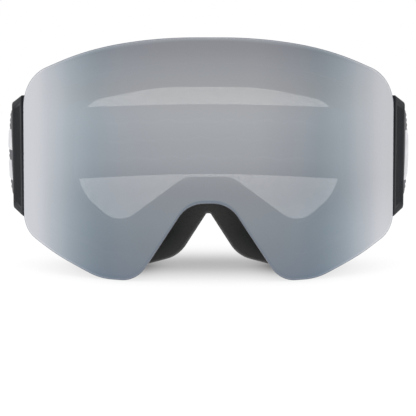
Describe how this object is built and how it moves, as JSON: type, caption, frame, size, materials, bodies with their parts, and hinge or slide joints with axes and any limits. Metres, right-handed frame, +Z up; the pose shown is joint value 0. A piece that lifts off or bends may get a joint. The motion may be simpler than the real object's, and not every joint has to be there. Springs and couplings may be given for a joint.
{
  "type": "ski goggles",
  "caption": "Frameless ski goggles with a cylindrical mirrored lens, soft vented frame, layered face foam, hinged outriggers and elastic strap.",
  "frame": {"origin": "on the floor, in the plane of symmetry, midway between the front of the lens and the rear of the strap", "axes": "+X across the face, -Y the way the lens faces, +Z up; the goggles stand on the lens lobes and the cheek foam"},
  "size_m": [0.2062, 0.205, 0.107],
  "materials": {
    "lens_mirror": "polished",
    "lens_clear": "polished",
    "gasket": "matte",
    "carrier": "satin",
    "magnet": "satin",
    "frame_soft": "matte",
    "vent_foam": "matte",
    "foam_firm": "matte",
    "foam_soft": "matte",
    "fleece": "matte",
    "steel": "satin",
    "outrigger": "satin",
    "webbing": "matte",
    "keeper": "matte",
    "adjuster": "satin",
    "silicone": "gloss"
  },
  "bodies": {
    "frame": {"frame_ring": "frame_soft", "frame_magnets": "magnet", "frame_skirt": "frame_soft", "face_flange": "frame_soft", "top_vent_foam": "vent_foam", "lower_vent_foam_left": "vent_foam", "lower_vent_foam_right": "vent_foam", "foam_base": "foam_firm", "foam_mid": "foam_soft", "face_fleece": "fleece", "hinge_pin_left": "steel", "hinge_pin_right": "steel", "strap_front_left": "webbing", "strap_front_right": "webbing", "strap_main": "webbing", "strap_tail_left": "webbing", "strap_tail_right": "webbing", "strap_keeper_left": "keeper", "strap_keeper_right": "keeper", "silicone_grip": "silicone"},
    "lens": {"outer_lens": "lens_mirror", "lens_gasket": "gasket", "inner_lens": "lens_clear", "lens_carrier": "carrier", "lens_magnets": "magnet"},
    "outrigger_left": {"outrigger_left": "outrigger", "strap_bar_left": "steel"},
    "outrigger_right": {"outrigger_right": "outrigger", "strap_bar_right": "steel"},
    "slider_left": {"slider_left": "adjuster"},
    "slider_right": {"slider_right": "adjuster"}
  },
  "joints": [
    {"name": "lens_release", "type": "slide", "parent": "frame", "child": "lens", "axis": [0, -1, 0], "range_m": [0, 0.05]},
    {"name": "outrigger_left_hinge", "type": "hinge", "parent": "frame", "child": "outrigger_left", "pos_m": [-0.0879, -0.0415, 0.054], "axis": [0, 0, 1], "range_deg": [-10, 12], "deforming": ["strap_front_left"]},
    {"name": "outrigger_right_hinge", "type": "hinge", "parent": "frame", "child": "outrigger_right", "pos_m": [0.0879, -0.0415, 0.054], "axis": [0, 0, -1], "range_deg": [-10, 12], "deforming": ["strap_front_right"]},
    {"name": "slider_left_travel", "type": "slide", "parent": "frame", "child": "slider_left", "axis": [0.1045, 0.9945, 0], "range_m": [-0.012, 0.012]},
    {"name": "slider_right_travel", "type": "slide", "parent": "frame", "child": "slider_right", "axis": [-0.1045, 0.9945, 0], "range_m": [-0.012, 0.012]}
  ]
}
